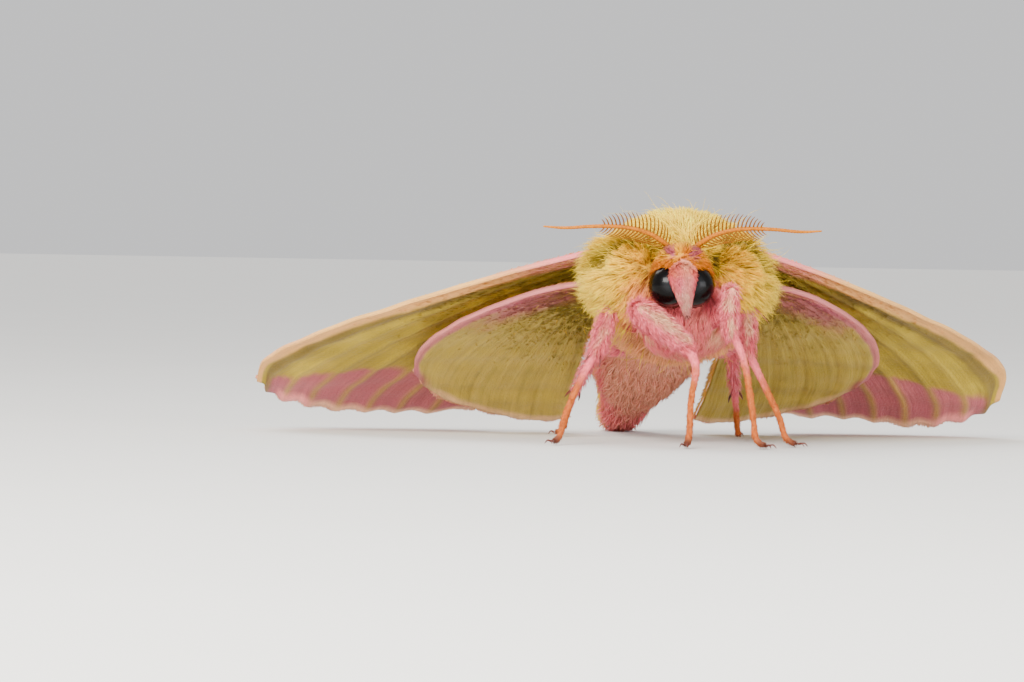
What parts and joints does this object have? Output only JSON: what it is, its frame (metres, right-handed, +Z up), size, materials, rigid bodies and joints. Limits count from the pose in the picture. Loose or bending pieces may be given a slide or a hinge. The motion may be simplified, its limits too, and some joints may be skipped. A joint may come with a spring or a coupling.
{
  "type": "rosy maple moth",
  "caption": "Woolly yellow and pink moth at rest with half-open, drooping wings and feathery antennae, life size, as a still model for display.",
  "frame": {"origin": "on the ground, below the middle of the box around the whole moth", "axes": "+Z up, -Y the way the head points, +X towards the moth's left wing tip"},
  "size_m": [0.0342, 0.022, 0.0107],
  "materials": {
    "yellow_coat": "woolly hair scales, matt",
    "orange_coat": "hair scales, matt",
    "pink_coat": "hair scales, matt",
    "wing_membrane": "powdery scales on a thin membrane",
    "antenna_horn": "satin horn",
    "eye_gloss": "glossy black"
  },
  "bodies": {
    "root": {"head": "orange_coat", "palps": "pink_coat", "eye_left": "eye_gloss", "eye_right": "eye_gloss", "antenna_left": "antenna_horn", "antenna_right": "antenna_horn", "thorax": "yellow_coat", "abdomen": "yellow_coat", "forewing_left": "wing_membrane", "forewing_right": "wing_membrane", "hindwing_left": "wing_membrane", "hindwing_right": "wing_membrane", "foreleg_left": "pink_coat", "foreleg_right": "pink_coat", "midleg_left": "pink_coat", "midleg_right": "pink_coat", "hindleg_left": "pink_coat", "hindleg_right": "pink_coat"}
  },
  "joints": []
}
